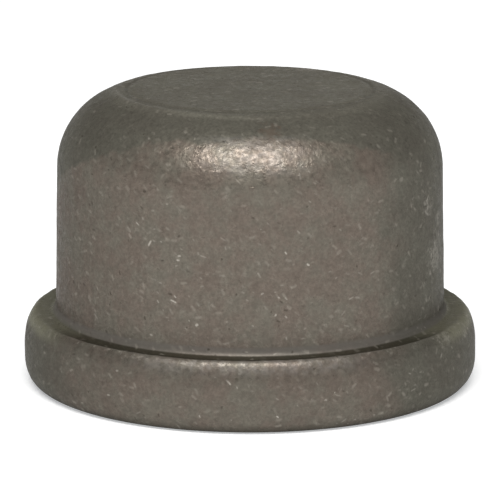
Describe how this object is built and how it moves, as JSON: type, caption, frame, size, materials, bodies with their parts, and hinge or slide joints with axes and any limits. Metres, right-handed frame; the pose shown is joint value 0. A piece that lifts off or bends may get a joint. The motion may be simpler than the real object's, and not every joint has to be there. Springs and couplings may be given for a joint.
{
  "type": "pipe cap",
  "caption": "Domed screwed pipe cap with a rounded reinforcing band around its open, internally threaded end.",
  "frame": {"origin": "centre of the open rim face, on the thread axis", "axes": "+Z along the thread axis, from the open rim towards the closed crown"},
  "size_m": [0.0466, 0.0466, 0.0303],
  "materials": {
    "black_malleable_iron": "as-cast and annealed, dark grey-brown with a slight sheen; thread and rim face machined"
  },
  "bodies": {
    "root": {"cap_casting": "black_malleable_iron"}
  },
  "joints": []
}
